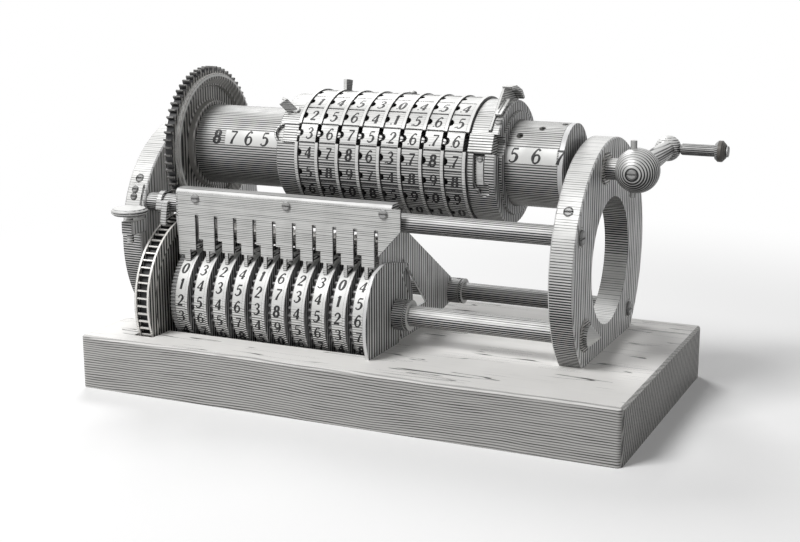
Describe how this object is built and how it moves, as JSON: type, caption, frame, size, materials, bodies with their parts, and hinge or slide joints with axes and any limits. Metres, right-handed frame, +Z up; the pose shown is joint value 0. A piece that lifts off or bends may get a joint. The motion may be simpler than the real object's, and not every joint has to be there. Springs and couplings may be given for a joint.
{
  "type": "mechanical calculator",
  "caption": "Hand-cranked barrel calculating machine: a drum with a sliding carriage of number rings over a comb and a row of recording wheels, between round end frames on a wooden base.",
  "frame": {"origin": "centre of the flat underside of the wooden base", "axes": "+X along the shafts towards the crank, +Y towards the rear, +Z up"},
  "size_m": [0.3438, 0.176, 0.1846],
  "materials": {
    "walnut": "polished dark wood",
    "painted_iron": "dark lacquered casting with bright rim",
    "dark_steel": "dull grey steel",
    "steel": "bright turned steel",
    "screw_steel": "polished steel",
    "brass": "turned brass",
    "plated_plate": "nickel plated",
    "drum_metal": "nickel plated, turned",
    "gear_metal": "machined brass",
    "polished_steel": "polished",
    "grip_wood": "dark polished wood",
    "carriage_metal": "nickel plated",
    "white_metal": "silvered, matt",
    "figure_metal": "silvered, matt, with black figures"
  },
  "bodies": {
    "frame": {"base_block": "walnut", "left_end_frame": "painted_iron", "right_end_frame": "painted_iron", "front_tie_rod": "steel", "rear_tie_rod": "steel", "frame_screws": "screw_steel", "foot_screws": "screw_steel", "shaft_bushes": "brass", "comb_bar": "steel", "comb_plate": "plated_plate", "comb_screws": "screw_steel", "left_web_plate": "dark_steel", "right_web_plate": "dark_steel", "bearing_bracket": "dark_steel", "rod_collar": "steel", "carry_shaft": "steel", "button_bracket": "painted_iron"},
    "drum": {"main_shaft": "steel", "drum": "drum_metal", "drum_end_plate": "drum_metal", "drum_gear": "gear_metal", "crank_hub": "polished_steel", "hub_screw": "screw_steel", "crank_pin": "steel", "crank_arm": "polished_steel", "handle_pin": "steel"},
    "handle_grip": {"handle_grip": "grip_wood"},
    "lower_shaft": {"lower_shaft": "steel", "lower_gear": "gear_metal", "shaft_collar": "steel"},
    "carriage": {"carriage_sleeve": "carriage_metal", "ring_spacers": "white_metal", "left_end_block": "carriage_metal", "right_end_block": "carriage_metal", "latch_spring": "plated_plate", "latch_screws": "screw_steel"},
    "locking_slide": {"locking_slide": "white_metal"},
    "latch_lever": {"latch_lever": "plated_plate"},
    "finger_lever": {"finger_lever": "plated_plate"},
    "carry_pinions": {"carry_pinions": "brass"},
    "thumb_button": {"thumb_button": "plated_plate"},
    "gear_pawl": {"gear_pawl": "steel"},
    "number_ring_1": {"number_ring_1": "figure_metal"},
    "number_ring_2": {"number_ring_2": "figure_metal"},
    "number_ring_3": {"number_ring_3": "figure_metal"},
    "number_ring_4": {"number_ring_4": "figure_metal"},
    "number_ring_5": {"number_ring_5": "figure_metal"},
    "number_ring_6": {"number_ring_6": "figure_metal"},
    "number_ring_7": {"number_ring_7": "figure_metal"},
    "number_ring_8": {"number_ring_8": "figure_metal"},
    "recording_wheel_1": {"recording_wheel_1": "figure_metal"},
    "recording_wheel_2": {"recording_wheel_2": "figure_metal"},
    "recording_wheel_3": {"recording_wheel_3": "figure_metal"},
    "recording_wheel_4": {"recording_wheel_4": "figure_metal"},
    "recording_wheel_5": {"recording_wheel_5": "figure_metal"},
    "recording_wheel_6": {"recording_wheel_6": "figure_metal"},
    "recording_wheel_7": {"recording_wheel_7": "figure_metal"},
    "recording_wheel_8": {"recording_wheel_8": "figure_metal"},
    "recording_wheel_9": {"recording_wheel_9": "figure_metal"},
    "recording_wheel_10": {"recording_wheel_10": "figure_metal"}
  },
  "joints": [
    {"name": "drum_turn", "type": "hinge", "parent": "frame", "child": "drum", "pos_m": [0, 0.00434, 0.13721], "axis": [1, 0, 0], "continuous": true},
    {"name": "lower_shaft_turn", "type": "hinge", "parent": "frame", "child": "lower_shaft", "pos_m": [0, -0.0274, 0.05001], "axis": [1, 0, 0], "continuous": true},
    {"name": "handle_grip_spin", "type": "hinge", "parent": "drum", "child": "handle_grip", "pos_m": [0.1635, 0.07225, 0.14077], "axis": [1, 0, 0], "continuous": true},
    {"name": "carriage_slide", "type": "slide", "parent": "drum", "child": "carriage", "axis": [1, 0, 0], "range_m": [-0.052, 0.026]},
    {"name": "number_ring_1_turn", "type": "hinge", "parent": "carriage", "child": "number_ring_1", "pos_m": [-0.0415, 0.00434, 0.13721], "axis": [1, 0, 0], "continuous": true},
    {"name": "number_ring_2_turn", "type": "hinge", "parent": "carriage", "child": "number_ring_2", "pos_m": [-0.0285, 0.00434, 0.13721], "axis": [1, 0, 0], "continuous": true},
    {"name": "number_ring_3_turn", "type": "hinge", "parent": "carriage", "child": "number_ring_3", "pos_m": [-0.0155, 0.00434, 0.13721], "axis": [1, 0, 0], "continuous": true},
    {"name": "number_ring_4_turn", "type": "hinge", "parent": "carriage", "child": "number_ring_4", "pos_m": [-0.0025, 0.00434, 0.13721], "axis": [1, 0, 0], "continuous": true},
    {"name": "number_ring_5_turn", "type": "hinge", "parent": "carriage", "child": "number_ring_5", "pos_m": [0.0105, 0.00434, 0.13721], "axis": [1, 0, 0], "continuous": true},
    {"name": "number_ring_6_turn", "type": "hinge", "parent": "carriage", "child": "number_ring_6", "pos_m": [0.0235, 0.00434, 0.13721], "axis": [1, 0, 0], "continuous": true},
    {"name": "number_ring_7_turn", "type": "hinge", "parent": "carriage", "child": "number_ring_7", "pos_m": [0.0365, 0.00434, 0.13721], "axis": [1, 0, 0], "continuous": true},
    {"name": "number_ring_8_turn", "type": "hinge", "parent": "carriage", "child": "number_ring_8", "pos_m": [0.0495, 0.00434, 0.13721], "axis": [1, 0, 0], "continuous": true},
    {"name": "locking_slide_travel", "type": "slide", "parent": "carriage", "child": "locking_slide", "axis": [1, 0, 0], "range_m": [0, 0.002]},
    {"name": "latch_lever_lift", "type": "hinge", "parent": "carriage", "child": "latch_lever", "pos_m": [0.0685, -0.02053, 0.1604], "axis": [1, 0, 0], "range_deg": [0, 4], "stiffness_Nm_per_rad": 0.05, "springref_deg": -5.73},
    {"name": "finger_lever_turn", "type": "hinge", "parent": "carriage", "child": "finger_lever", "pos_m": [-0.055, -0.01713, 0.1628], "axis": [0, -0.6428, 0.766], "range_deg": [-15, 15]},
    {"name": "recording_wheel_1_turn", "type": "hinge", "parent": "frame", "child": "recording_wheel_1", "pos_m": [-0.1137, -0.0274, 0.05001], "axis": [1, 0, 0], "continuous": true},
    {"name": "recording_wheel_2_turn", "type": "hinge", "parent": "frame", "child": "recording_wheel_2", "pos_m": [-0.1007, -0.0274, 0.05001], "axis": [1, 0, 0], "continuous": true},
    {"name": "recording_wheel_3_turn", "type": "hinge", "parent": "frame", "child": "recording_wheel_3", "pos_m": [-0.0877, -0.0274, 0.05001], "axis": [1, 0, 0], "continuous": true},
    {"name": "recording_wheel_4_turn", "type": "hinge", "parent": "frame", "child": "recording_wheel_4", "pos_m": [-0.0747, -0.0274, 0.05001], "axis": [1, 0, 0], "continuous": true},
    {"name": "recording_wheel_5_turn", "type": "hinge", "parent": "frame", "child": "recording_wheel_5", "pos_m": [-0.0617, -0.0274, 0.05001], "axis": [1, 0, 0], "continuous": true},
    {"name": "recording_wheel_6_turn", "type": "hinge", "parent": "frame", "child": "recording_wheel_6", "pos_m": [-0.0487, -0.0274, 0.05001], "axis": [1, 0, 0], "continuous": true},
    {"name": "recording_wheel_7_turn", "type": "hinge", "parent": "frame", "child": "recording_wheel_7", "pos_m": [-0.0357, -0.0274, 0.05001], "axis": [1, 0, 0], "continuous": true},
    {"name": "recording_wheel_8_turn", "type": "hinge", "parent": "frame", "child": "recording_wheel_8", "pos_m": [-0.0227, -0.0274, 0.05001], "axis": [1, 0, 0], "continuous": true},
    {"name": "recording_wheel_9_turn", "type": "hinge", "parent": "frame", "child": "recording_wheel_9", "pos_m": [-0.0097, -0.0274, 0.05001], "axis": [1, 0, 0], "continuous": true},
    {"name": "recording_wheel_10_turn", "type": "hinge", "parent": "frame", "child": "recording_wheel_10", "pos_m": [0.0033, -0.0274, 0.05001], "axis": [1, 0, 0], "continuous": true},
    {"name": "carry_pinions_turn", "type": "hinge", "parent": "frame", "child": "carry_pinions", "pos_m": [-0.055, -0.01427, 0.0861], "axis": [1, 0, 0], "continuous": true},
    {"name": "thumb_button_press", "type": "slide", "parent": "frame", "child": "thumb_button", "axis": [0, 0, -1], "range_m": [0, 0.003], "stiffness_N_per_m": 400, "springref_m": -0.002},
    {"name": "gear_pawl_lift", "type": "hinge", "parent": "frame", "child": "gear_pawl", "pos_m": [-0.129, -0.0391, 0.10633], "axis": [-1, 0, 0], "range_deg": [0, 12]}
  ],
  "couplings": [
    {"joint": "lower_shaft_turn", "follows": "drum_turn", "ratio": -1}
  ]
}
